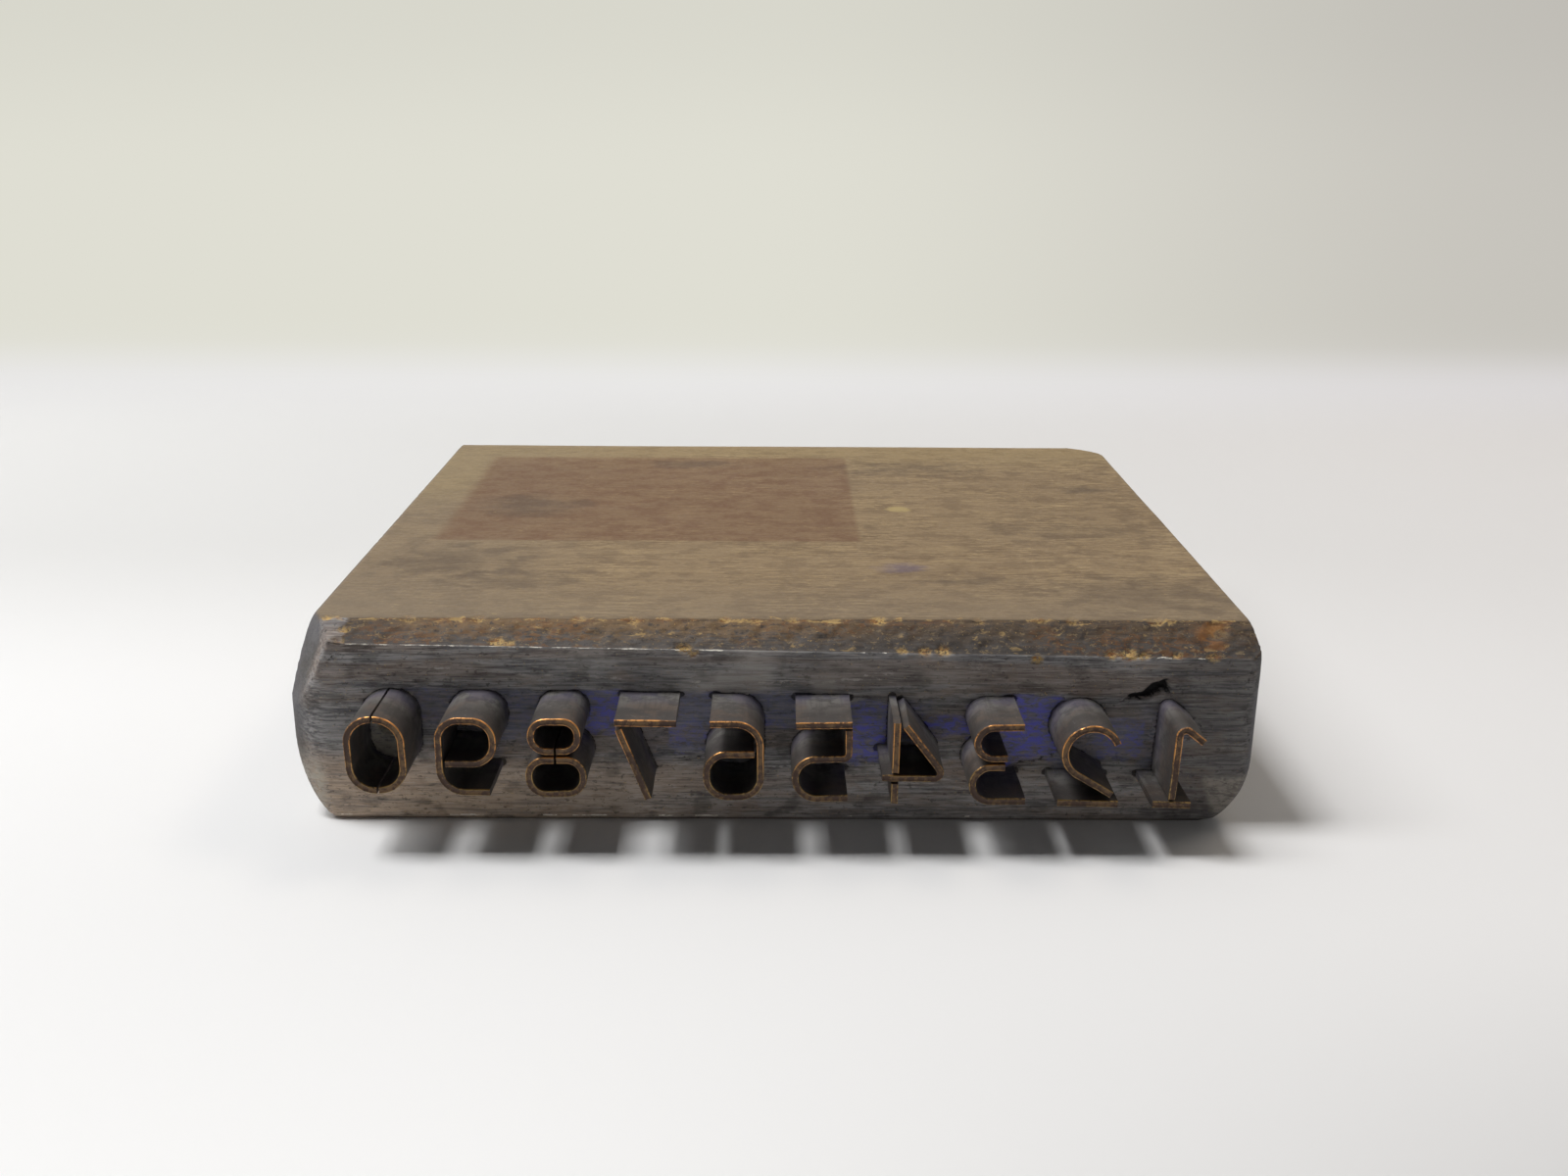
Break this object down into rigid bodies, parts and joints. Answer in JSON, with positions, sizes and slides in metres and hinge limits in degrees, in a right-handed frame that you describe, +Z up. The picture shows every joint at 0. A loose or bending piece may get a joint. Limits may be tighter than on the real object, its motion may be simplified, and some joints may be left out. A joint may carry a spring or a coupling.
{
  "type": "hand printing block",
  "caption": "Wooden hand block with a row of mirrored figures of bent brass strip along one narrow side, for printing by hand.",
  "frame": {"origin": "middle of the length and of the wooden block's depth, on the large flat face that the block lies on", "axes": "+X along the row of figures, -Y towards the printing edges, +Z up from the face that the block lies on"},
  "size_m": [0.127, 0.1109, 0.027],
  "materials": {
    "hardwood": "old planed hardwood, darkened by handling and ink",
    "brass_strip": "tarnished rolled brass, filed bright on the printing edges"
  },
  "bodies": {
    "root": {"wood_block": "hardwood", "zero_left": "brass_strip", "zero_right": "brass_strip", "nine_strip": "brass_strip", "eight_upper": "brass_strip", "eight_lower": "brass_strip", "seven_bar": "brass_strip", "seven_leg": "brass_strip", "six_strip": "brass_strip", "five_bar": "brass_strip", "five_bowl": "brass_strip", "four_elbow": "brass_strip", "four_stem": "brass_strip", "four_foot": "brass_strip", "three_upper": "brass_strip", "three_lower": "brass_strip", "two_hook": "brass_strip", "two_base": "brass_strip", "one_stem": "brass_strip", "one_base": "brass_strip"}
  },
  "joints": []
}
